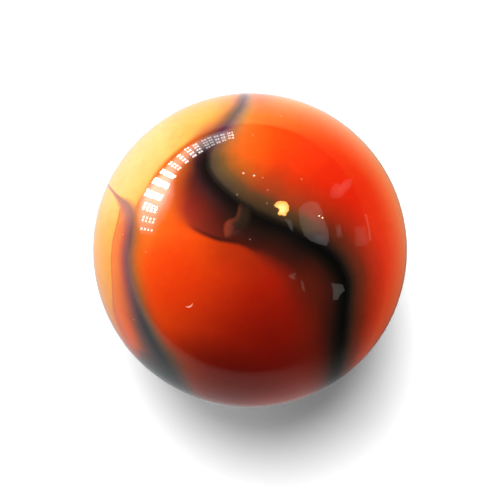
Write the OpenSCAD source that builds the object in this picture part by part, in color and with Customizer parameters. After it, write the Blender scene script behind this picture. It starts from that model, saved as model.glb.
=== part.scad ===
// Swirl glass marble: one solid ball, with the small wear marks that play has left on it.
//
// All sizes are in millimetres and all angles in degrees. The origin is the centre of the ball.
// +Z comes out of the face that shows the most of the dark streak, and +Y is towards the end
// where that streak leaves this face. The swirl is colour inside the one piece of glass, so it
// has no solid of its own.
//
// A place on the glass is given by its azimuth and its tilt: azimuth turns about +Z from +X,
// and tilt is the angle away from +Z, so a tilt of 90 is on the ball's widest circle.

/* [Ball] */
// Diameter of the glass ball
marble_d = 16; // [12:0.5:25]

/* [Crescent nick] */
// Azimuth of the nick on the ball
moon_azimuth = 220; // [0:5:355]
// Tilt of the nick away from +Z
moon_tilt = 28; // [0:1:85]
// Turn of the nick's bulging side, counted from the way that points straight away from +Z
moon_turn = 76; // [-180:1:180]
// Radius of the nick's outer curve
moon_r = 0.26; // [0.2:0.02:0.6]
// Angle between the nick's two tips, seen from the centre of the outer curve
moon_sweep = 130; // [100:5:170]
// Width across the middle of the nick
moon_w = 0.08; // [0.05:0.01:0.12]
// Depth of the nick's floor below the glass
moon_depth = 0.04; // [0.02:0.01:0.1]

/* [Pinprick pits] */
// Diameter of each round pit at the surface
pit_d = 0.12; // [0.08:0.01:0.3]
// Depth of each pit
pit_depth = 0.04; // [0.02:0.01:0.04]
// Tilt of the first pit away from +Z
pit_tilt = 26.5; // [10:0.5:85]
// Change of tilt from one pit to the next
pit_tilt_step = -1; // [-5:0.5:5]
// Azimuth of the first pit
pit_azimuth = 95; // [0:5:355]
// Turn about +Z from one pit to the next
pit_step = 8; // [4:1:30]
// Number of pits in the row
pit_count = 2; // [1:1:6]

/* [Hidden] */
// Every part that can be drawn on its own
// The part to draw, or "all"

// Facets around the ball, and around each small mark
BALL_FN = 96;
MARK_FN = 36;
// How far a cutter reaches outside the glass
CLEAR = 0.3;

ball_r = marble_d / 2;

// The inner curve of the nick passes through both tips and stays moon_w inside the outer curve
tip_x = moon_r * cos(moon_sweep / 2);
tip_y = moon_r * sin(moon_sweep / 2);
inner_x = moon_r - moon_w;
inner_centre = (inner_x * inner_x - tip_x * tip_x - tip_y * tip_y) / (2 * (inner_x - tip_x));
inner_r = inner_x - inner_centre;

// Radius of the ball that leaves a round dent of the wanted width and depth
pit_cut_r = (pit_d * pit_d / 4 + pit_depth * pit_depth) / (2 * pit_depth);

// Moves its children from the centre of the ball to a place on the glass, +Z pointing outwards
module on_glass(azimuth, tilt)
    rotate([0, tilt, azimuth]) translate([0, 0, ball_r]) children();

// Cutter for the crescent nick: a small upright disc with a larger one taken out of it
module moon_cutter()
    on_glass(moon_azimuth, moon_tilt)
        rotate([0, 0, moon_turn])
            translate([0, 0, -moon_depth])
                difference() {
                    cylinder(h = moon_depth + CLEAR, r = moon_r, $fn = MARK_FN);
                    translate([inner_centre, 0, -CLEAR])
                        cylinder(h = moon_depth + 3 * CLEAR, r = inner_r, $fn = MARK_FN);
                }

// Cutters for the row of round pits
module pit_cutters()
    for (i = [0 : pit_count - 1])
        on_glass(pit_azimuth - i * pit_step, pit_tilt + i * pit_tilt_step)
            translate([0, 0, pit_cut_r - pit_depth])
                sphere(r = pit_cut_r, $fn = MARK_FN);

// The whole marble
module marble()
    color([0.83, 0.24, 0.06])
        difference() {
            sphere(d = marble_d, $fn = BALL_FN);
            moon_cutter();
            pit_cutters();
        }

marble();
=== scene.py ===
import math

import bpy
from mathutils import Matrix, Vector


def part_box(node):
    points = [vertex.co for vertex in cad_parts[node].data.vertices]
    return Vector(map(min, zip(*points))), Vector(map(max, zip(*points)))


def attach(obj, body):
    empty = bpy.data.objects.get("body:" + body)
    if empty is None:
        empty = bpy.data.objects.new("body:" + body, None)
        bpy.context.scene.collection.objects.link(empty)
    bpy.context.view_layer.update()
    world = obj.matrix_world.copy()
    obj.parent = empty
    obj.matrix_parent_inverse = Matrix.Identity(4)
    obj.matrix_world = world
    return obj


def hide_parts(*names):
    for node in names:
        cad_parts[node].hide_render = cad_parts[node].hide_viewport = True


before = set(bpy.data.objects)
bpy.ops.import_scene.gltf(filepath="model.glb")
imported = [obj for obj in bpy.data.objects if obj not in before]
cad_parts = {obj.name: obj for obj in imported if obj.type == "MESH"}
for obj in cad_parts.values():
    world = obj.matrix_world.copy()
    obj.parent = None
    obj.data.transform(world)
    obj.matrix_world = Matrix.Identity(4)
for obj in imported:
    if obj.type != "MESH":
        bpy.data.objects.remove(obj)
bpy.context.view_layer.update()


# ---- Camera ------------------------------------------------------------------
# A long lens looks straight down on the marble, square to the table it lies on.
# The top of the frame is the +Y side of the ball.
ball_low, ball_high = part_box("marble")
ball_r = (ball_high.z - ball_low.z) / 2
CAMERA_RADII = 8.9
LENS_MM = 100
SENSOR_MM = 36

camera_data = bpy.data.cameras.new("long_lens")
camera_data.lens = LENS_MM
camera_data.sensor_width = SENSOR_MM
camera_data.clip_start = 0.01
camera_data.clip_end = 10
camera = bpy.data.objects.new("long_lens", camera_data)
camera.location = (0, 0, CAMERA_RADII * ball_r)
bpy.context.scene.collection.objects.link(camera)
bpy.context.scene.camera = camera
bpy.context.scene.view_settings.view_transform = "Standard"


# ---- Table and room ----------------------------------------------------------
# The marble lies on a white table in a dim room. In the polished glass the table
# is a white card that ends not far away. Its light is painted into its emission: bright
# towards the windows, with a painted shadow of the marble.
TABLE_HALF = 2.0
TABLE_WHITE = 0.95
TABLE_FLOOR_LIGHT = 0.20
# how far the card reaches, how softly it ends, at most sides and at -Y, and how far it lies
# below the table top
CARD_X = (-0.125, 0.30)
CARD_Y = (-0.095, 0.068)
CARD_EDGE_SOFT = 0.012
CARD_FOOT_SOFT = 0.055
CARD_DROP = 0.0001
# painted light and shadow of the card in the glass: how bright it is by compass direction in degrees
CARD_GLOW = (
    (-180, 0.72), (-150, 0.58), (-120, 0.46), (-90, 0.36), (-70, 0.34), (-55, 0.18), (-30, 0.08),
    (-15, 0.12), (0, 0.22), (30, 0.3), (45, 0.5), (60, 0.7), (80, 0.98), (100, 1), (145, 0.88),
    (180, 0.72),
)
# the share of painted glow that it loses towards +X, and where it loses it
CARD_DIM = 0.6
CARD_DIM_X = (0.006, 0.036)
# how much light it throws back up, and how much more of it comes from -X
CARD_BOUNCE = 0.92
CARD_BOUNCE_LEAN = 0.10
# away from the marble the card's painted light turns warm, and amber beside the yellow glass
TONE_AWAY = (0.010, 0.040)
WHITE_TONE = (1, 1, 1)
WARM_TONE = (1, 0.80, 0.70)
AMBER_TONE = (1, 1.45, 0.36)
AMBER_X = (-0.02, 0.0)
AMBER_Y = (-0.01, 0.02)
ROOM_IN_GLASS = 0.04


class Wire:
    """One output of a node. Arithmetic on it adds Math nodes to its own tree."""

    def __init__(self, bench, socket):
        self.bench = bench
        self.socket = socket

    def other(self, name):
        return Wire(self.bench, self.socket.node.outputs[name])

    def __add__(self, value):
        return self.bench.maths("ADD", self, value)

    def __sub__(self, value):
        return self.bench.maths("SUBTRACT", self, value)

    def __rsub__(self, value):
        return self.bench.maths("SUBTRACT", value, self)

    def __mul__(self, value):
        return self.bench.maths("MULTIPLY", self, value)

    def __truediv__(self, value):
        return self.bench.maths("DIVIDE", self, value)

    def __rtruediv__(self, value):
        return self.bench.maths("DIVIDE", value, self)

    def __neg__(self):
        return self.bench.maths("MULTIPLY", self, -1)

    def __abs__(self):
        return self.bench.maths("ABSOLUTE", self)

    __radd__ = __add__
    __rmul__ = __mul__


class Bench:
    """A node tree while it is being wired, for shaders and for shapes."""

    def __init__(self, tree):
        self.tree = tree

    def node(self, kind, settings=None, values=None, out=0):
        """One output of a new node, if it has any: settings first, then sockets' values or links."""
        made = self.tree.nodes.new(kind)
        for name, setting in (settings or {}).items():
            if name == "stops":
                ramp = made.color_ramp.elements
                for number, (place, colour) in enumerate(setting):
                    stop = ramp[number] if number < 2 else ramp.new(place)
                    stop.position = place
                    stop.color = colour
            else:
                setattr(made, name, setting)
        for name, value in (values or {}).items():
            if isinstance(value, Wire):
                self.tree.links.new(value.socket, made.inputs[name])
            else:
                made.inputs[name].default_value = value
        return Wire(self, made.outputs[out]) if made.outputs else None

    def maths(self, operation, *values):
        return self.node("ShaderNodeMath", {"operation": operation}, dict(enumerate(values)))

    def vector_maths(self, operation, *values, out=0):
        return self.node("ShaderNodeVectorMath", {"operation": operation}, dict(enumerate(values)), out)


def shader_bench(holder):
    holder.use_nodes = True
    holder.node_tree.nodes.clear()
    return Bench(holder.node_tree)


def climb(x, low, high):
    """0 below low, 1 above high, and a smooth rise between them."""
    return x.bench.node(
        "ShaderNodeMapRange",
        {"interpolation_type": "SMOOTHSTEP"},
        {"Value": x, "From Min": low, "From Max": high},
    )


def within(x, low, high, low_soft, high_soft):
    """1 between two places and 0 outside them, with a soft end at each."""
    above_low = climb(x, low - low_soft, low + low_soft)
    below_high = climb(-x, -high - high_soft, -high + high_soft)
    return above_low * below_high


def blend(share, below, above):
    """The colour below where share is 0, and above where it is 1."""
    values = {0: share}
    for socket, colour in ((6, below), (7, above)):
        values[socket] = colour if isinstance(colour, Wire) else (*colour, 1)
    return share.bench.node("ShaderNodeMix", {"data_type": "RGBA"}, values, out=2)


def flat_sheet(name, low, high, lower=0.0):
    """A rectangle at the height of the table or a little lower, and its material's bench."""
    corners = ((low[0], low[1]), (high[0], low[1]), (high[0], high[1]), (low[0], high[1]))
    mesh = bpy.data.meshes.new(name)
    mesh.from_pydata([(x, y, -ball_r - lower) for x, y in corners], [], [(0, 1, 2, 3)])
    sheet = bpy.data.objects.new(name, mesh)
    bpy.context.scene.collection.objects.link(sheet)
    mesh.materials.append(bpy.data.materials.new(name))
    return sheet, shader_bench(mesh.materials[0])


table, bench = flat_sheet("table_top", (-TABLE_HALF, -TABLE_HALF), (TABLE_HALF, TABLE_HALF))
matt = bench.node("ShaderNodeBsdfDiffuse", None, {"Color": (TABLE_WHITE, TABLE_WHITE, TABLE_WHITE, 1)})
low_light = bench.node("ShaderNodeEmission", None, {"Strength": TABLE_FLOOR_LIGHT})
table_top = bench.node("ShaderNodeAddShader", None, {0: matt, 1: low_light})
bench.node("ShaderNodeOutputMaterial", None, {"Surface": table_top})
table.visible_glossy = False
table.visible_diffuse = False
table.visible_shadow = False

card, bench = flat_sheet(
    "white_card",
    (CARD_X[0] - CARD_EDGE_SOFT, CARD_Y[0] - CARD_FOOT_SOFT),
    (CARD_X[1] + CARD_EDGE_SOFT, CARD_Y[1] + CARD_EDGE_SOFT),
    lower=CARD_DROP,
)
spot = bench.node("ShaderNodeSeparateXYZ", None, {0: bench.node("ShaderNodeTexCoord", out="Object")})
across, along = spot.other("X"), spot.other("Y")
away = bench.maths("SQRT", across * across + along * along)
inside = within(across, *CARD_X, CARD_EDGE_SOFT, CARD_EDGE_SOFT)
inside = inside * within(along, *CARD_Y, CARD_FOOT_SOFT, CARD_EDGE_SOFT)
compass_share = bench.maths("ARCTAN2", along, across) / math.tau + 0.5
stops = [((degrees + 180) / 360, (glow, glow, glow, 1)) for degrees, glow in CARD_GLOW]
glow = bench.node("ShaderNodeValToRGB", {"stops": stops}, {0: compass_share})
glow = glow * (1 - CARD_DIM * climb(across, *CARD_DIM_X))
bounce = CARD_BOUNCE * (1 - CARD_BOUNCE_LEAN * across / away)
mirrored = bench.node("ShaderNodeLightPath", out="Is Glossy Ray")
amber_side = climb(along, *AMBER_Y) * climb(across, *AMBER_X)
far_tone = blend(amber_side, WARM_TONE, AMBER_TONE)
tone = blend(climb(away, *TONE_AWAY) * mirrored, WHITE_TONE, far_tone)
strength = glow * mirrored + bounce * (1 - mirrored)
card_light = bench.node(
    "ShaderNodeVectorMath", {"operation": "SCALE"}, {"Vector": tone, "Scale": strength}
)
lit_card = bench.node("ShaderNodeEmission", None, {"Color": card_light, "Strength": 1})
see_past = bench.node("ShaderNodeBsdfTransparent")
soft_card = bench.node("ShaderNodeMixShader", None, {0: inside, 1: see_past, 2: lit_card})
bench.node("ShaderNodeOutputMaterial", None, {"Surface": soft_card})
card.data.materials[0].cycles.emission_sampling = "NONE"
card.visible_camera = False
card.visible_shadow = False

room = bpy.data.worlds.new("room")
bpy.context.scene.world = room
bench = shader_bench(room)
rays = bench.node("ShaderNodeLightPath")
room_light = rays.other("Is Camera Ray") + rays.other("Is Glossy Ray") * ROOM_IN_GLASS
walls = bench.node("ShaderNodeBackground", None, {"Strength": room_light, "Color": (1, 1, 1, 1)})
bench.node("ShaderNodeOutputWorld", None, {"Surface": walls})


# ---- Lamps -------------------------------------------------------------------
# Broad soft daylight falls on the marble from four sides. Two more lamps light the
# table only, and throw the marble's short soft shadow on it.
def compass(azimuth, tilt):
    """The unit direction at an azimuth round +Z and a tilt away from it, in degrees."""
    a, t = math.radians(azimuth), math.radians(tilt)
    return Vector((math.sin(t) * math.cos(a), math.sin(t) * math.sin(a), math.cos(t)))


def daylight(name, azimuth, tilt, strength, spread, lights):
    """A distant soft lamp: where it stands, how strong and wide it is, and what it lights."""
    lamp_data = bpy.data.lights.new(name, "SUN")
    lamp_data.energy = strength * math.pi
    lamp_data.angle = math.radians(spread)
    lamp_data.cycles.use_multiple_importance_sampling = False
    lamp = bpy.data.objects.new(name, lamp_data)
    lamp.rotation_euler = compass(azimuth, tilt).to_track_quat("Z", "Y").to_euler()
    lamp.visible_glossy = False
    lamp.light_linking.receiver_collection = lights
    bpy.context.scene.collection.objects.link(lamp)


on_marble = bpy.data.collections.new("lit_marble")
on_table = bpy.data.collections.new("lit_table")
on_table.objects.link(table)
daylight("window_daylight", 148, 75, 1.24, 40, on_marble)
daylight("back_daylight", 90, 49, 0.52, 40, on_marble)
daylight("side_daylight", 22, 97, 1.0, 40, on_marble)
daylight("door_daylight", 312, 55, 0.09, 40, on_marble)
daylight("ceiling_daylight", 97, 28, 1.2, 32, on_table)
daylight("table_daylight", 127, 56, 0.62, 66, on_table)


# ---- Window wall and room lights ---------------------------------------------
# A long wall of small-paned windows stands beyond the table. A warm round lamp
# half hidden by its arm hangs above, with pale things round the room. They are
# only seen as highlights in the glass.
WALL_AZIMUTH = 147
WALL_AWAY = 0.6
PAINT_BEHIND = 0.01
# each bay in metres along the wall: middle, width, top and foot, how far it leans for
# each metre of height, then columns and rows of panes, their share of a row, and brightness
BAYS = (
    (0.24, 0.014, 0.18, 0.03, 0, 1, 4, 0.5, 22),
    (0.175, 0.04, 0.17, 0.02, 0.03, 2, 4, 0.5, 22),
    (0.105, 0.048, 0.15, -0.01, 0.03, 3, 4, 0.66, 40),
    (0.035, 0.038, 0.14, -0.045, 0.08, 1, 3, 0.9, 60),
    (-0.04, 0.036, 0.13, -0.045, 0.12, 1, 3, 0.88, 60),
    (-0.105, 0.032, 0.12, -0.045, 0.14, 2, 4, 0.8, 50),
    (-0.165, 0.03, 0.095, -0.05, 0.15, 2, 4, 0.6, 28),
    (-0.225, 0.026, 0.09, -0.055, 0.15, 1, 4, 0.56, 26),
    (-0.29, 0.034, 0.085, -0.075, 0.16, 2, 4, 0.56, 24),
    (-0.345, 0.038, 0.08, -0.065, 0.12, 2, 4, 0.56, 19),
    (-0.415, 0.042, 0.07, -0.07, 0.1, 2, 4, 0.56, 10),
    (-0.46, 0.036, 0.065, -0.075, 0.1, 2, 4, 0.56, 10),
    (-0.515, 0.046, 0.06, -0.075, 0.06, 2, 3, 0.56, 10),
    (-0.575, 0.048, 0.055, -0.075, 0.06, 2, 3, 0.56, 12),
    (-0.64, 0.04, 0.045, -0.08, 0.06, 2, 3, 0.56, 13),
    (-0.675, 0.024, 0.045, -0.085, 0.06, 1, 3, 0.56, 13),
)
# how much of its column a pane fills where a bay has several columns
PANE_SHARE = 0.75
# how bright the wall is behind the windows: place along the wall, top, foot and glow
WALL_GLOW = (
    (0.29, 0.24, 0.01, 0), (0.235, 0.25, 0, 3), (0.17, 0.27, -0.04, 5), (0.1, 0.28, -0.08, 8),
    (0.05, 0.28, -0.08, 11), (-0.03, 0.25, -0.05, 11), (-0.09, 0.17, -0.03, 10),
    (-0.13, 0.14, -0.04, 7), (-0.17, 0.12, -0.04, 5), (-0.22, 0.115, -0.06, 4.2),
    (-0.35, 0.11, -0.08, 3.4), (-0.6, 0.09, -0.12, 2.2), (-0.68, 0.08, -0.12, 0),
)
WALL_TINT = (1, 0.93, 0.88)
# how the glow fades, in steps down the wall from 1 to 0: a step's ends and the glow left at each
WALL_FADE = ((1, 0.8, 0, 0.3), (0.8, 0.6, 0.3, 1), (0.6, 0.22, 1, 1), (0.22, 0, 1, 0))

wall_out = compass(WALL_AZIMUTH, 90)
wall_side = Vector((-wall_out.y, wall_out.x, 0))


def glow_sheet(name, shapes):
    """A sheet of bright shapes for mirrored rays only: (corners, one colour or one each)."""
    points, faces, colours = [], [], []
    for corners, colour in shapes:
        faces.append(range(len(points), len(points) + len(corners)))
        points += corners
        colours += colour if isinstance(colour, list) else [colour] * len(corners)
    mesh = bpy.data.meshes.new(name)
    mesh.from_pydata(points, [], faces)
    glow = mesh.attributes.new("glow", "FLOAT_COLOR", "POINT")
    for number, colour in enumerate(colours):
        glow.data[number].color = (*colour, 1)
    paint = bpy.data.materials.new(name)
    paint.cycles.emission_sampling = "NONE"
    bench = shader_bench(paint)
    colour = bench.node("ShaderNodeAttribute", {"attribute_name": "glow"}, out="Color")
    shine = bench.node("ShaderNodeEmission", None, {"Color": colour, "Strength": 1})
    bench.node("ShaderNodeOutputMaterial", None, {"Surface": shine})
    mesh.materials.append(paint)
    sheet = bpy.data.objects.new(name, mesh)
    bpy.context.scene.collection.objects.link(sheet)
    sheet.visible_camera = False
    sheet.visible_diffuse = False
    sheet.visible_shadow = False


def on_wall(side, height, away=WALL_AWAY):
    return wall_out * away + wall_side * side + Vector((0, 0, height))


panes = []
for middle, width, top, foot, lean, columns, rows, share, bright in BAYS:
    row_step = (top - foot) / rows
    column_step = width / columns
    pane_wide = column_step * (PANE_SHARE if columns > 1 else 1)
    for row in range(rows):
        for column in range(columns):
            x = middle + width / 2 - column_step * column
            z = top - row_step * row
            right = x - pane_wide
            low = z - row_step * share
            corners = []
            for side, height in ((x, z), (right, z), (right, low), (x, low)):
                corners.append(on_wall(side - lean * (height - (top + foot) / 2), height))
            panes.append((corners, (bright, bright, bright)))
glow_sheet("window_wall", panes)

wall_paint = []
for here_wall, next_wall in zip(WALL_GLOW, WALL_GLOW[1:]):
    for upper, lower, shade_up, shade_low in WALL_FADE:
        corners, colours = [], []
        for (side, top, foot, glow), part, shade in (
            (here_wall, upper, shade_up),
            (next_wall, upper, shade_up),
            (next_wall, lower, shade_low),
            (here_wall, lower, shade_low),
        ):
            corners.append(on_wall(side, foot + (top - foot) * part, WALL_AWAY + PAINT_BEHIND))
            colours.append(tuple(glow * shade * tint for tint in WALL_TINT))
        wall_paint.append((corners, colours))
glow_sheet("wall_paint", wall_paint)

# Shapes round the room: outline as (azimuth, rise) in degrees, how far away, the colour
# of the middle, and how much of it is left at the edge.
ROOM_SHAPES = (
    ([(27, 34.5), (26.5, 35), (26, 34.5), (26, 34)], 0.48, (60, 45, 26), 0.8),
    ([(24.5, 32.5), (24, 33), (23.5, 33), (23.5, 32)], 0.48, (60, 45, 26), 0.8),
    (
        [(40, 45.5), (41, 40), (39, 34), (35, 30), (29, 30.5), (23, 32), (14, 31.5), (7, 32.5),
         (3, 35), (5, 41), (9, 47), (15, 50.5), (27, 50.5)],
        0.5, (1.5, 1.4, 1.15), 0.6,
    ),
    ([(16, 45), (15, 39), (13, 32), (7, 32.5), (3, 35), (5, 41), (9, 47)], 0.49, (1.4, 1.4, 1.5), 0.6),
    ([(43, 57.5), (36, 54.5), (29, 55.5), (23, 57.5), (28, 58.5), (36, 58)], 0.5, (1.5, 1.3, 1.2), 0.5),
    (
        [(-22, 26), (-20.5, 16.5), (-23, 12.5), (-26, 14.5), (-29.5, 14.5), (-31, 18), (-26, 22)],
        0.5, (1, 1, 0.9), 0.8,
    ),
    ([(-34, 58), (-26, 54.5), (-34, 52), (-35, 55.5)], 0.5, (1.2, 1, 0.8), 0.6),
    ([(-30, 49), (-31, 46), (-37, 40.5), (-37.5, 43.5)], 0.5, (1.3, 0.9, 0.8), 0.6),
    (
        [(36.5, 20.5), (38.5, 12.5), (36, 9), (36.5, 3), (35, -4), (32, 2), (31.5, 8.5), (30, 14),
         (31, 21), (33, 23)],
        0.058, (1.1, 0.95, 0.8), 0.4,
    ),
    ([(16, 25), (16, 20.5), (8, 21), (8, 26)], 0.5, (1.1, 1, 0.9), 0.3),
    ([(12.5, 14), (12, 3.5), (2.5, 2), (1.5, 15.5)], 0.058, (0.6, 0.6, 0.5), 0.5),
    ([(17.5, 1), (17, -1), (4.5, -0.5), (4.5, 1.5)], 0.058, (0.9, 0.75, 0.6), 1),
)
# The round lamp, with the notch that its arm leaves.
LAMP_AWAY = 0.47
LAMP_MIDDLE = (52, 54)
LAMP_BRIGHT = (44, 30, 11)
LAMP_RIM = (28, 12, 2)
LAMP_OUTLINE = (
    (62, 54), (60.5, 51), (57.5, 49), (53, 47.5), (48.5, 48.5), (45.5, 51), (45, 54), (43.5, 55.5),
    (47, 57), (51, 58.5), (53, 58), (53.5, 55.5), (56, 54.5), (60.5, 55),
)


def seen_at(azimuth, rise, away):
    return compass(azimuth, 90 - rise) * away


def fan(outline, middle, away, bright, rim):
    """Triangles from a middle to an outline, with one colour in the middle and one round the edge."""
    slices = []
    for number, corner in enumerate(outline):
        ends = [seen_at(*end, away) for end in (middle, corner, outline[number - 1])]
        slices.append((ends, [bright, rim, rim]))
    return slices


room_shapes = fan(LAMP_OUTLINE, LAMP_MIDDLE, LAMP_AWAY, LAMP_BRIGHT, LAMP_RIM)
for outline, away_from, colour, left_over in ROOM_SHAPES:
    middle = [sum(values) / len(values) for values in zip(*outline)]
    room_shapes += fan(outline, middle, away_from, colour, tuple(value * left_over for value in colour))
glow_sheet("room_lights", room_shapes)


# ---- Marble ------------------------------------------------------------------
# A solid machine-made glass ball: opaque orange-red glass with a yellow side and
# ribbons of black and smoky glass folded in while hot, then fire-polished.
# It has a tiny crescent nick and two pinprick pits from play.
MM = 0.001
MOON_AZIMUTH, MOON_TILT, MOON_TURN = 220, 28, 76
MOON_R, MOON_W, MOON_SWEEP, MOON_DEPTH = 0.26 * MM, 0.08 * MM, 130, 0.04 * MM
PIT_D, PIT_DEPTH, PIT_COUNT = 0.12 * MM, 0.04 * MM, 2
PIT_AZIMUTH, PIT_STEP = 95, 8
PIT_TILT, PIT_TILT_STEP = 26.5, -1

# Each seam between glasses: azimuth and tilt in degrees, then how wide a ribbon is or how soft
# an edge is, as a share of the usual.
MAIN_RIBBON = (
    (70, 152, 0.1), (85, 138, 0.7), (92, 115, 0.9), (92, 95, 0.55), (92, 78, 0.38), (92, 70, 0.6),
    (93.5, 60, 0.75), (98, 51.5, 0.9), (103, 46, 1), (112.5, 40, 1), (118, 34, 1), (119, 28, 1),
    (115, 22, 1), (105, 15.5, 1.05), (87, 12, 1.15), (65, 11, 1.15), (44, 12, 1), (25, 15, 1),
    (12, 18, 1), (0, 25, 1), (352, 30, 1), (341, 36, 1), (330, 40, 1), (321, 45, 1),
    (314.5, 51, 0.92), (309, 59, 0.82), (304.5, 70, 0.65), (300.5, 84, 0.7), (292, 100, 1.2),
    (282, 118, 1.1), (280, 138, 0.8), (292, 152, 0.1),
)
LEFT_RIBBON = (
    (92, 120, 0.02), (110, 118, 0.3), (135, 110, 0.3), (150, 98, 0.2), (154, 86, 0.12),
    (155.5, 75, 0.1), (157, 64, 0.14), (158.5, 57, 0.3), (160.5, 51, 0.75), (163.5, 47.5, 1),
    (168, 46, 1), (174, 45.5, 1), (182, 46.5, 1), (190, 47, 1.05), (199, 47.5, 1.12),
    (208, 48.5, 1), (218, 50.5, 1), (226, 53.5, 1.25), (232, 57, 1.7), (237, 64, 1.9),
    (241, 75, 2.3), (246, 88, 2.2), (256, 104, 1.8), (268, 118, 1.4), (277, 126, 1.3),
    (286, 132, 0.02),
)
# Wine glass lies on the left of this one.
WINE_EDGE = (
    (110, 48, 0.5), (116, 45.5, 0.5), (123, 42, 0.6), (130, 38.5, 0.9), (138, 35.5, 1),
    (146, 31.5, 0.9), (152, 28.5, 0.65), (157, 24.5, 0.4), (161.5, 19, 0.2), (164, 12, 0.12),
    (160.5, 7, 0.14), (153, 3.5, 0.18), (350, 0.5, 0.25), (329.5, 5, 0.42), (325, 10, 0.6),
    (321, 15, 0.75), (311, 23, 0.9), (306.5, 32.5, 1.15), (300, 43.5, 1.3), (297, 55, 1.2),
    (295.5, 66, 1), (293, 80, 0.8),
)
# Yellow glass lies on the right of this one, which closes under the ball.
YELLOW_EDGE = (
    (92, 100, 1.5), (95, 78, 1.3), (99.5, 61, 1.2), (104.5, 54.5, 0.9), (109.5, 51.5, 0.7),
    (115, 49, 0.45), (120, 47.5, 0.25), (132, 46.5, 0.22), (142, 46, 0.22), (150, 45.5, 0.2),
    (156, 46, 0.16), (160, 46.5, 0.12), (161.5, 48.5, 0.1), (161, 52, 0.08), (162.5, 55, 0.06),
    (166, 54.5, 0.06), (171, 55, 0.06), (176.5, 56, 0.06), (187, 57.5, 0.06), (193, 59, 0.06),
    (198.5, 62, 0.1), (204.5, 67, 0.25), (213, 72, 0.5), (222, 82, 0.8), (226, 96, 1.2),
    (230, 112, 1.3), (235, 130, 1.4), (200, 150, 1.5), (140, 146, 1.5), (105, 132, 1.5),
    (92, 115, 1.5), (92, 100, 1.5),
)
# A small curl of redder glass inside the wine.
CURL = (
    (156, 9, 0.6), (147, 10, 0.9), (141, 11, 1), (132, 12, 1), (123, 12, 0.9), (115, 11.5, 0.8),
    (108, 13, 0.8), (102, 16.5, 0.6),
)
SEAMS = {
    "main_ribbon": MAIN_RIBBON,
    "left_ribbon": LEFT_RIBBON,
    "wine_edge": WINE_EDGE,
    "yellow_edge": YELLOW_EDGE,
    "curl": CURL,
}
SEAM_STEPS = 500
# Small pale specks in the skin of the glass: azimuth and tilt.
SPECKS = (
    (80, 25), (73.5, 21), (70, 16.5), (90, 3.5), (103, 19), (77, 55.5), (88.5, 42.5), (54, 30.5),
    (211, 54), (173, 49.5), (181, 37.5),
)


def seam_curve(name, stations):
    curve = bpy.data.curves.new(name, "CURVE")
    curve.dimensions = "3D"
    line = curve.splines.new("POLY")
    line.points.add(len(stations) - 1)
    for point, (azimuth, tilt, width) in zip(line.points, stations):
        point.co = (*(compass(azimuth, tilt) * ball_r), 1)
        point.radius = width
    seam = bpy.data.objects.new(name, curve)
    bpy.context.scene.collection.objects.link(seam)
    return seam


seams = {name: seam_curve(name, stations) for name, stations in SEAMS.items()}


def lay_seam(bench, shape, seam, name):
    """Stores (distance in mm with its side, width, share along) of a seam on the shape's points."""
    line = bench.node(
        "GeometryNodeObjectInfo", {"transform_space": "RELATIVE"}, {"Object": seam}, "Geometry"
    )
    line = bench.node(
        "GeometryNodeCurveSplineType", {"spline_type": "CATMULL_ROM"}, {"Curve": line}
    )
    line = bench.node(
        "GeometryNodeResampleCurve", {"mode": "COUNT"}, {"Curve": line, "Count": SEAM_STEPS}
    )
    for label, kind, data_type in (
        ("run", "GeometryNodeInputTangent", "FLOAT_VECTOR"),
        ("girth", "GeometryNodeInputRadius", "FLOAT"),
    ):
        line = bench.node(
            "GeometryNodeStoreNamedAttribute",
            {"data_type": data_type, "domain": "POINT"},
            {"Geometry": line, "Name": label, "Value": bench.node(kind)},
        )
    thread = bench.node("GeometryNodeCurveToMesh", None, {"Curve": line})
    place = bench.node("GeometryNodeInputPosition")
    near = bench.node("GeometryNodeProximity", {"target_element": "EDGES"}, {0: thread})
    index = bench.node("GeometryNodeSampleNearest", {"domain": "POINT"}, {0: thread})

    def sampled(label, data_type):
        held = bench.node("GeometryNodeInputNamedAttribute", {"data_type": data_type}, {"Name": label})
        return bench.node(
            "GeometryNodeSampleIndex",
            {"data_type": data_type, "domain": "POINT"},
            {0: thread, "Value": held, "Index": index},
        )

    leftward = bench.vector_maths("CROSS_PRODUCT", place, sampled("run", "FLOAT_VECTOR"))
    from_seam = bench.vector_maths("SUBTRACT", place, near)
    offset = bench.vector_maths("DOT_PRODUCT", from_seam, leftward, out="Value")
    side = bench.maths("SIGN", offset)
    field = bench.node(
        "ShaderNodeCombineXYZ",
        None,
        {
            "X": side * near.other("Distance") / MM,
            "Y": sampled("girth", "FLOAT"),
            "Z": index / (SEAM_STEPS - 1),
        },
    )
    return bench.node(
        "GeometryNodeStoreNamedAttribute",
        {"data_type": "FLOAT_VECTOR", "domain": "POINT"},
        {"Geometry": shape, "Name": name, "Value": field},
    )


form = bpy.data.node_groups.new("marble_form", "GeometryNodeTree")
INPUTS = {
    "Diameter": ("NodeSocketFloat", 2 * ball_r),
    "Fineness": ("NodeSocketInt", 7),
    "Nick radius": ("NodeSocketFloat", MOON_R),
    "Nick depth": ("NodeSocketFloat", MOON_DEPTH),
    "Pit depth": ("NodeSocketFloat", PIT_DEPTH),
    "Pit count": ("NodeSocketInt", PIT_COUNT),
    "Glass": ("NodeSocketMaterial", None),
    **{name: ("NodeSocketObject", seam) for name, seam in seams.items()},
}
sockets = {
    name: form.interface.new_socket(name=name, in_out="INPUT", socket_type=kind)
    for name, (kind, _) in INPUTS.items()
}
form.interface.new_socket(name="Geometry", in_out="OUTPUT", socket_type="NodeSocketGeometry")
bench = Bench(form)
given = bench.node("NodeGroupInput")
radius = given.other("Diameter") / 2
ball = bench.node(
    "GeometryNodeMeshIcoSphere", None, {"Radius": radius, "Subdivisions": given.other("Fineness")}
)


def triple(x, y, z):
    return bench.node("ShaderNodeCombineXYZ", None, {"X": x, "Y": y, "Z": z})


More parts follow.
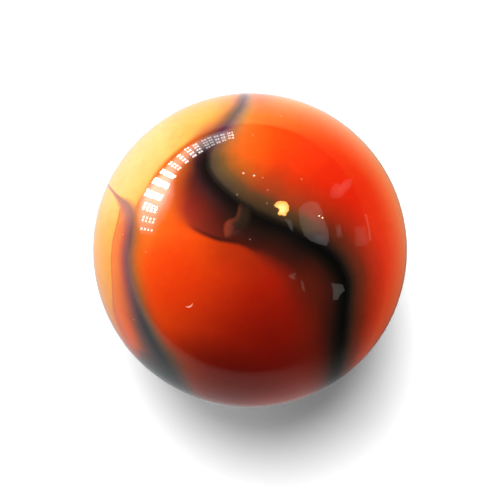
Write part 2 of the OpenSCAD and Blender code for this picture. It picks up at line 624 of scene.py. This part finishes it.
def shifted(shape, shift):
    return bench.node("GeometryNodeTransform", None, {"Geometry": shape, "Translation": shift})


def turned(shape, turn):
    return bench.node("GeometryNodeTransform", None, {"Geometry": shape, "Rotation": turn})


def cut(shape, cutter):
    settings = {"operation": "DIFFERENCE", "solver": "EXACT"}
    return bench.node("GeometryNodeMeshBoolean", settings, {0: shape, 1: cutter})


def rod(vertices, across, high):
    values = {"Vertices": vertices, "Radius": across, "Depth": high}
    return bench.node("GeometryNodeMeshCylinder", {"fill_type": "NGON"}, values)


# The nick is a thin moon: a round cutter less a larger round one beside it, which passes
# through both tips of the moon and leaves it its width in the middle.
half_sweep = math.radians(MOON_SWEEP / 2)
tip_x = MOON_R * math.cos(half_sweep)
tip_y = MOON_R * math.sin(half_sweep)
inner_x = MOON_R - MOON_W
inner_middle = (inner_x**2 - tip_x**2 - tip_y**2) / (2 * (inner_x - tip_x))
CUT_HIGH = 1 * MM
MOON_FACETS, HOLLOW_FACETS = 48, 96
hollow = shifted(rod(HOLLOW_FACETS, inner_x - inner_middle, 2 * CUT_HIGH), (inner_middle, 0, 0))
moon = cut(rod(MOON_FACETS, given.other("Nick radius"), CUT_HIGH), hollow)
moon = turned(moon, (0, 0, math.radians(MOON_TURN)))
moon = shifted(moon, triple(0, 0, radius - given.other("Nick depth") + CUT_HIGH / 2))
moon = turned(moon, (0, math.radians(MOON_TILT), math.radians(MOON_AZIMUTH)))

# The pits are one small ball set round the marble at an even step. Its radius is the one
# that gives them their width at their depth.
pit_ball_r = (PIT_D**2 / 4 + PIT_DEPTH**2) / (2 * PIT_DEPTH)
PIT_FINENESS = 3
pit_ball = bench.node(
    "GeometryNodeMeshIcoSphere", None, {"Radius": pit_ball_r, "Subdivisions": PIT_FINENESS}
)
pit_ball = shifted(pit_ball, triple(0, 0, radius + pit_ball_r - given.other("Pit depth")))
spots = bench.node("GeometryNodePoints", None, {"Count": given.other("Pit count")})
pit_number = bench.node("GeometryNodeInputIndex")
pit_azimuth = PIT_AZIMUTH - PIT_STEP * pit_number
pit_tilt = PIT_TILT + PIT_TILT_STEP * pit_number
turn = triple(0, pit_tilt * math.radians(1), pit_azimuth * math.radians(1))
pits = bench.node(
    "GeometryNodeInstanceOnPoints", None, {"Points": spots, "Instance": pit_ball, "Rotation": turn}
)
pits = bench.node("GeometryNodeRealizeInstances", None, {"Geometry": pits})

shape = cut(cut(ball, moon), pits)
for name in SEAMS:
    shape = lay_seam(bench, shape, given.other(name), name)

# The skin is smooth, and the rims of the nick and the pits stay sharp.
SHARP_ANGLE = 20
crease = bench.node("GeometryNodeInputMeshEdgeAngle")
soft_edge = bench.maths("LESS_THAN", crease, math.radians(SHARP_ANGLE))
for domain, smooth in (("FACE", True), ("EDGE", soft_edge)):
    values = {"Geometry": shape, "Shade Smooth": smooth}
    shape = bench.node("GeometryNodeSetShadeSmooth", {"domain": domain}, values)
shape = bench.node("GeometryNodeRealizeInstances", None, {"Geometry": shape})
shape = bench.node(
    "GeometryNodeSetMaterial", None, {"Geometry": shape, "Material": given.other("Glass")}
)
bench.node("NodeGroupOutput", None, {0: shape})

glass = bpy.data.materials.new("swirl_glass")
bench = shader_bench(glass)
here = bench.node("ShaderNodeTexCoord", out="Object")


def light_of(red, green, blue):
    """A colour given on the everyday 0 to 255 scale, as amounts of light."""
    shares = [value / 255 for value in (red, green, blue)]
    return tuple(v / 12.92 if v < 0.04 else ((v + 0.055) / 1.055) ** 2.4 for v in shares)


def toward(azimuth, tilt):
    """1 at the point of the ball on this side, -1 at the opposite one."""
    return bench.vector_maths("DOT_PRODUCT", here, compass(azimuth, tilt) / ball_r, out="Value")


def noise(vector, size, detail=2.0, roughness=0.5):
    """Noise about 0 whose lumps are about this many millimetres across."""
    made = bench.node(
        "ShaderNodeTexNoise",
        {"noise_dimensions": "3D"},
        {"Vector": vector, "Scale": 1 / (size * MM), "Detail": detail, "Roughness": roughness},
    )
    return made - 0.5


def seam_field(name):
    """A seam's distance in mm with its side, its width, and the share along it."""
    field = bench.node("ShaderNodeAttribute", {"attribute_name": name}, out="Vector")
    field = bench.node("ShaderNodeSeparateXYZ", None, {0: field})
    return field.other("X"), field.other("Y"), field.other("Z")


def across_seam(place, stops):
    """Colour and cover across a seam from stops of (place in mm, colour, cover)."""
    low, high = stops[0][0], stops[-1][0]
    ramp = [((at - low) / (high - low), (*light_of(*colour), cover)) for at, colour, cover in stops]
    made = bench.node("ShaderNodeValToRGB", {"stops": ramp}, {0: (place - low) / (high - low)})
    return made, made.other("Alpha")


def share_at(stations, number):
    """How far along a seam one of its stations lies, from 0 to 1."""
    points = [compass(azimuth, tilt) for azimuth, tilt, _ in stations]
    steps = [start.angle(end) for start, end in zip(points, points[1:])]
    return sum(steps[:number]) / sum(steps)


def along_seam(run, stations, first, last):
    """A smooth rise from 0 at one station of a seam to 1 at another."""
    return climb(run, share_at(stations, first), share_at(stations, last))


def between(share, pair, other):
    """Mixes two (colour, cover) pairs."""
    return blend(share, pair[0], other[0]), pair[1] + (other[1] - pair[1]) * share


# The glasses wander and mix in lumps of three sizes in millimetres, and two of them make the
# seams ripple.
WANDER_SIZE, FINE_SIZE, CLOUD_SIZE = 1.6, 0.5, 3.5
WANDER_RIPPLE, FINE_RIPPLE = 0.12, 0.06
wander = noise(here, WANDER_SIZE, 3.0)
fine = noise(here, FINE_SIZE, 3.0, 0.6)
cloud = noise(here, CLOUD_SIZE)
ripple = wander * WANDER_RIPPLE + fine * FINE_RIPPLE

# The body runs from red to orange towards one side, and a painted amber glow lies round its rim.
WARM_SIDE = (150, 90)
WARM_CLOUD, WARM_GRAIN = 0.10, 0.02
warm = toward(*WARM_SIDE) + cloud * WARM_CLOUD + fine * WARM_GRAIN
body, _ = across_seam(
    warm,
    (
        (-1.0, (222, 46, 18), 1), (-0.6, (222, 43, 15), 1), (-0.4, (224, 34, 7), 1),
        (-0.15, (234, 41, 7), 1), (0.0, (242, 54, 10), 1), (0.1, (248, 61, 10), 1),
        (0.2, (251, 70, 10), 1), (0.3, (250, 77, 12), 1), (0.4, (247, 86, 18), 1),
        (0.5, (240, 97, 24), 1), (0.6, (232, 114, 36), 1), (1.0, (225, 124, 45), 1),
    ),
)
AMBER = (238, 156, 42)
# painted rim glow: where it begins and is full away from +Z, the side where it is stronger, its share
# and how much more it gets there
RIM_GLOW_REACH = (-0.65, -0.15)
RIM_GLOW_SIDE, RIM_GLOW_SHARE, RIM_GLOW_LEAN = (90, 90), 0.42, 0.38
rim = climb(-toward(0, 0), *RIM_GLOW_REACH)
body = blend(rim * (RIM_GLOW_SHARE + RIM_GLOW_LEAN * toward(*RIM_GLOW_SIDE)), body, light_of(*AMBER))
# Patches in the body, two warmer and two darker towards -Y: azimuth and tilt of the middle, how near
# to it they begin and are full on a scale that ends at 1, their share and their colour.
BODY_PATCHES = (
    ((106, 40), (0.93, 1.0), 0.13, AMBER),
    ((200, 30), (0.96, 0.995), 0.40, (255, 46, 5)),
    ((252, 58), (0.88, 0.99), 0.60, (130, 24, 12)),
    ((296, 56), (0.92, 0.99), 0.30, (100, 24, 14)),
)
for middle, nearness, share, patch_colour in BODY_PATCHES:
    body = blend(climb(toward(*middle), *nearness) * share, body, light_of(*patch_colour))

# Wine glass fills the fold of the main ribbon, whose middle is black. Smoke lies
# outside it. Where the ribbon thins out at the top it is a grey violet.
main_off, main_wide, main_run = seam_field("main_ribbon")
main_place = (main_off + ripple) / main_wide
fold = across_seam(
    main_place,
    (
        (-3.0, (196, 70, 34), 0), (-2.2, (174, 54, 32), 0), (-1.6, (144, 42, 30), 0),
        (-1.2, (122, 37, 26), 0), (-0.9, (98, 33, 26), 0.3), (-0.6, (74, 31, 30), 0.9),
        (-0.4, (52, 26, 26), 1), (-0.2, (32, 20, 18), 1), (0.0, (22, 14, 12), 1),
        (0.2, (44, 37, 30), 1), (0.35, (84, 65, 48), 1), (0.6, (98, 74, 46), 1),
        (0.9, (126, 82, 42), 1), (1.2, (160, 92, 36), 0.9), (1.6, (188, 98, 30), 0.7),
        (2.0, (205, 98, 26), 0.45), (2.5, (215, 94, 24), 0.2), (3.0, (220, 90, 22), 0),
    ),
)
upper = across_seam(
    main_place,
    (
        (-3.0, (150, 50, 30), 0), (-2.2, (124, 42, 26), 0), (-1.6, (102, 34, 22), 0),
        (-1.2, (82, 28, 18), 0), (-0.8, (56, 25, 19), 0.3), (-0.5, (40, 22, 16), 0.9),
        (-0.2, (21, 15, 12), 1), (0.0, (15, 12, 10), 1), (0.2, (36, 28, 20), 1),
        (0.4, (76, 56, 36), 1), (0.8, (104, 66, 38), 1), (1.2, (108, 67, 36), 0.66),
        (1.6, (112, 70, 34), 0.52), (2.0, (120, 62, 28), 0.36), (2.5, (125, 58, 26), 0.18),
        (3.0, (130, 56, 26), 0),
    ),
)
lower = across_seam(
    main_place,
    (
        (-3.0, (146, 42, 20), 0), (-1.6, (122, 37, 18), 0), (-1.2, (98, 31, 18), 0.2),
        (-0.8, (72, 28, 18), 0.7), (-0.5, (38, 20, 12), 1), (-0.2, (10, 9, 6), 1),
        (0.0, (5, 5, 5), 1), (0.2, (26, 20, 14), 1), (0.4, (58, 34, 24), 1),
        (0.8, (96, 43, 25), 0.97), (1.2, (104, 43, 22), 0.85), (1.6, (112, 44, 20), 0.62),
        (2.0, (120, 45, 18), 0.42), (2.5, (122, 44, 18), 0.2), (3.0, (126, 44, 18), 0),
    ),
)
violet = across_seam(
    main_place,
    (
        (-1.1, (215, 135, 55), 0), (-0.85, (200, 115, 48), 0.6), (-0.65, (182, 95, 44), 0.95),
        (-0.45, (150, 72, 46), 1), (-0.25, (116, 56, 58), 1), (-0.05, (90, 44, 66), 1),
        (0.15, (122, 70, 80), 1), (0.35, (156, 94, 76), 1), (0.55, (182, 106, 62), 1),
        (0.8, (200, 112, 50), 0.7), (1.2, (210, 108, 40), 0.3), (1.8, (214, 100, 30), 0.1),
        (2.3, (220, 95, 25), 0),
    ),
)
# the stations between which one look gives way to the next, and the fold opens
VIOLET_TO_FOLD, FOLD_TO_UPPER, UPPER_TO_LOWER, FOLD_OPENS = (7, 10), (11, 14), (17, 19), (7, 9)
MAIN_THIN = (0.1, 0.3)
main = between(along_seam(main_run, MAIN_RIBBON, *FOLD_TO_UPPER), fold, upper)
main = between(along_seam(main_run, MAIN_RIBBON, *UPPER_TO_LOWER), main, lower)
main = between(along_seam(main_run, MAIN_RIBBON, *VIOLET_TO_FOLD), violet, main)
main_ends = climb(main_wide, *MAIN_THIN)
folded = along_seam(main_run, MAIN_RIBBON, *FOLD_OPENS) * main_ends

# The wine glass has a dark line where its edge is sharp, and a brown halo outside its top.
WINE_LINE_AT, WINE_LINE_HALF, WINE_LINE_SHARP = 0.08, (0.04, 0.13), (0.15, 0.45)
WINE_RIPPLE, WINE_LAP = 0.6, (-0.3, 0.1)
HALO_BEGINS, HALO_ENDS, HALO_OUTER, HALO_INNER = (8, 10), (12, 15), (-1.9, 0.1), (0.2, 0.5)
HALO_COLOUR, HALO_SHARE = (140, 48, 16), 0.48
wine_off, wine_soft, wine_run = seam_field("wine_edge")
wine_line = 1 - climb(abs(wine_off - WINE_LINE_AT), *WINE_LINE_HALF)
wine_line = wine_line * (1 - climb(wine_soft, *WINE_LINE_SHARP))
wine = climb((wine_off + ripple * WINE_RIPPLE) / wine_soft, -1, 1)
wine = wine * climb(-main_off, *WINE_LAP) * folded
halo = along_seam(wine_run, WINE_EDGE, *HALO_BEGINS)
halo = halo * (1 - along_seam(wine_run, WINE_EDGE, *HALO_ENDS))
halo = climb(wine_off, *HALO_OUTER) * (1 - climb(wine_off, *HALO_INNER)) * halo
body = blend(halo * HALO_SHARE, body, light_of(*HALO_COLOUR))

# Yellow glass covers one side, and its edge carries a thin burnt line, weaker past its middle.
YELLOW_SIDE, YELLOW_CLOUD, YELLOW_RIPPLE = (143, 68), 0.10, 0.4
BURNT_COLOUR, BURNT_OUTER, BURNT_INNER = (184, 56, 16), (-2.2, -0.6), (-0.2, 1.0)
BURNT_SHARE, BURNT_LOSS, BURNT_WEAKENS = 0.72, 0.36, (6, 8)
yellow_off, yellow_soft, yellow_run = seam_field("yellow_edge")
yellow_place = (-yellow_off + ripple * YELLOW_RIPPLE) / yellow_soft
yellow_glass, _ = across_seam(
    toward(*YELLOW_SIDE) + cloud * YELLOW_CLOUD,
    (
        (-0.2, (215, 90, 30), 1), (0.35, (232, 112, 30), 1), (0.60, (236, 146, 44), 1),
        (0.80, (232, 152, 52), 1), (0.90, (230, 164, 66), 1), (0.96, (228, 180, 96), 1),
        (1.0, (228, 184, 108), 1),
    ),
)
burnt = climb(yellow_place, *BURNT_OUTER) * (1 - climb(yellow_place, *BURNT_INNER))
weakened = along_seam(yellow_run, YELLOW_EDGE, *BURNT_WEAKENS)
burnt = burnt * (BURNT_SHARE - BURNT_LOSS * weakened)
colour = blend(burnt, body, light_of(*BURNT_COLOUR))
colour = blend(climb(yellow_place, -1, 1), colour, yellow_glass)

# The left ribbon: plum outside, olive inside, slate blue to black as it widens, the black tinted by a
# painted teal reflection.
LEFT_RIPPLE, LEFT_THIN = 0.6, (0.02, 0.08)
LILAC_TO_PLUM, PLUM_TO_SLATE, SLATE_TO_INK_AND_SHEEN = (8, 11), (13, 16), (17, 20)
left_off, left_wide, left_run = seam_field("left_ribbon")
left_place = (left_off + ripple * LEFT_RIPPLE) / left_wide
lilac = across_seam(
    left_place,
    (
        (-1.1, (212, 140, 70), 0), (-0.8, (210, 126, 80), 0.6), (-0.4, (192, 114, 90), 1),
        (-0.1, (168, 108, 98), 1), (0.15, (158, 106, 90), 1), (0.4, (204, 128, 80), 0.7),
        (0.6, (215, 140, 75), 0),
    ),
)
plum = across_seam(
    left_place,
    (
        (-1.2, (228, 112, 44), 0), (-0.8, (216, 98, 48), 0.5), (-0.6, (202, 88, 52), 0.85),
        (-0.4, (174, 76, 60), 1), (-0.2, (136, 70, 68), 1), (0.0, (116, 72, 72), 1),
        (0.2, (142, 90, 68), 1), (0.4, (172, 98, 52), 1), (0.6, (198, 96, 36), 0.9),
        (0.8, (216, 90, 26), 0.6), (1.1, (228, 88, 20), 0.2), (1.4, (238, 88, 20), 0),
    ),
)
slate = across_seam(
    left_place,
    (
        (-1.7, (212, 100, 50), 0), (-1.3, (194, 84, 48), 0.6), (-1.0, (156, 78, 58), 0.92),
        (-0.7, (110, 72, 66), 1), (-0.4, (76, 64, 70), 1), (-0.15, (44, 52, 62), 1),
        (0.0, (48, 56, 62), 1), (0.15, (76, 72, 66), 1), (0.35, (122, 82, 62), 1),
        (0.55, (160, 82, 50), 0.95), (0.8, (196, 74, 34), 0.65), (1.1, (216, 70, 28), 0.25),
        (1.4, (226, 70, 28), 0),
    ),
)
# Dark glass, with a painted teal reflection of the card mixed into its colour.
ink_and_teal_sheen = across_seam(
    left_place,
    (
        (-1.3, (120, 70, 60), 0), (-0.9, (60, 58, 68), 1), (-0.4, (8, 56, 60), 1),
        (0.0, (8, 52, 58), 1), (0.15, (30, 54, 60), 1), (0.3, (88, 74, 78), 1),
        (0.45, (130, 78, 70), 0.9), (0.6, (185, 76, 56), 0.6), (0.8, (215, 70, 40), 0),
    ),
)
left = between(along_seam(left_run, LEFT_RIBBON, *LILAC_TO_PLUM), lilac, plum)
left = between(along_seam(left_run, LEFT_RIBBON, *PLUM_TO_SLATE), left, slate)
left = between(along_seam(left_run, LEFT_RIBBON, *SLATE_TO_INK_AND_SHEEN), left, ink_and_teal_sheen)
colour = blend(left[1] * climb(left_wide, *LEFT_THIN), colour, left[0])

# The main ribbon and the wine glass in its fold lie over all of these, with the dark line on top.
WINE_LINE_COLOUR, WINE_LINE_SHARE = (52, 20, 14), 0.6
colour = blend(bench.maths("MAXIMUM", main[1] * main_ends, wine), colour, main[0])
colour = blend(wine_line * wine * WINE_LINE_SHARE, colour, light_of(*WINE_LINE_COLOUR))

# The curl has a rusty rim, and its stem joins the olive glass across the black.
CURL_BEGINS, CURL_ENDS, HEAD_TO_STEM = (0.0, 0.10), (0.80, 1.0), (0.35, 0.65)
CURL_RIPPLE = 0.05
curl_off, curl_wide, curl_run = seam_field("curl")
curl_ends = climb(curl_run, *CURL_BEGINS) * (1 - climb(curl_run, *CURL_ENDS))
curl_place = (curl_off + fine * CURL_RIPPLE) / curl_wide
head = across_seam(
    curl_place,
    (
        (-1.2, (56, 30, 29), 0), (-0.8, (72, 38, 36), 0.6), (-0.45, (92, 44, 40), 0.85),
        (-0.2, (134, 60, 42), 0.95), (-0.04, (150, 60, 36), 0.95), (0.09, (112, 38, 24), 0),
    ),
)
stem = across_seam(
    curl_place,
    (
        (-0.9, (48, 34, 24), 0), (-0.6, (50, 36, 26), 0.75), (-0.25, (56, 42, 30), 0.9),
        (-0.08, (94, 52, 36), 0.9), (0.02, (92, 46, 30), 0.8), (0.10, (84, 34, 22), 0),
    ),
)
curl = between(climb(curl_run, *HEAD_TO_STEM), head, stem)
colour = blend(curl[1] * curl_ends, colour, curl[0])

# Mottling in the mix, small pale specks, and the frosted floors of the nick and the pits.
GRAIN, CLOUDING, RED_GRAIN = 0.30, 0.12, 0.10
SPECK_INNER, SPECK_OUTER = 0.02 * MM, 0.055 * MM
SPECK_COLOUR, SPECK_SHARE = (0.9, 0.6, 0.35), 0.30
FROST_DEPTH = (0.006 * MM, 0.02 * MM)
FROST_COLOUR, FROST_SHARE = (1.0, 0.62, 0.42), 0.75
# painted glow: the frosted floors shine in the emission, for light coming out through the chip
FROST_GLINT = (0.70, 0.26, 0.17)
POLISH, FROST_ROUGH = 0.03, 0.4
GLASS_IOR = 1.5
mottle = 1 + fine * GRAIN + cloud * CLOUDING
colour = bench.vector_maths("MULTIPLY", colour, triple(1 + fine * RED_GRAIN, mottle, mottle))
for azimuth, tilt in SPECKS:
    gap = bench.vector_maths("DISTANCE", here, compass(azimuth, tilt) * ball_r, out="Value")
    colour = blend(climb(-gap, -SPECK_OUTER, -SPECK_INNER) * SPECK_SHARE, colour, SPECK_COLOUR)
depth = ball_r - bench.vector_maths("LENGTH", here, out="Value")
frost = climb(depth, *FROST_DEPTH)
colour = blend(frost * FROST_SHARE, colour, FROST_COLOUR)

glass_shader = bench.node(
    "ShaderNodeBsdfPrincipled",
    None,
    {
        "Base Color": colour,
        "Roughness": POLISH + frost * FROST_ROUGH,
        "IOR": GLASS_IOR,
        "Emission Color": blend(frost, (0, 0, 0), FROST_GLINT),
        "Emission Strength": 1,
    },
)
bench.node("ShaderNodeOutputMaterial", None, {"Surface": glass_shader})

# The tree runs once, on an empty seed, and its result is kept as the marble's plain mesh.
seed = bpy.data.objects.new("marble_seed", bpy.data.meshes.new("marble_seed"))
bpy.context.scene.collection.objects.link(seed)
maker = seed.modifiers.new("marble_form", "NODES")
maker.node_group = form
values = {name: value for name, (_, value) in INPUTS.items()}
values["Glass"] = glass
for name, value in values.items():
    maker[sockets[name].identifier] = value
formed = seed.evaluated_get(bpy.context.evaluated_depsgraph_get())
marble = bpy.data.objects.new("marble_swirl", bpy.data.meshes.new_from_object(formed))
bpy.context.scene.collection.objects.link(marble)
for spare in (seed, *seams.values()):
    bpy.data.objects.remove(spare)
marble.visible_diffuse = False
on_marble.objects.link(marble)
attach(marble, "root")
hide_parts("marble")
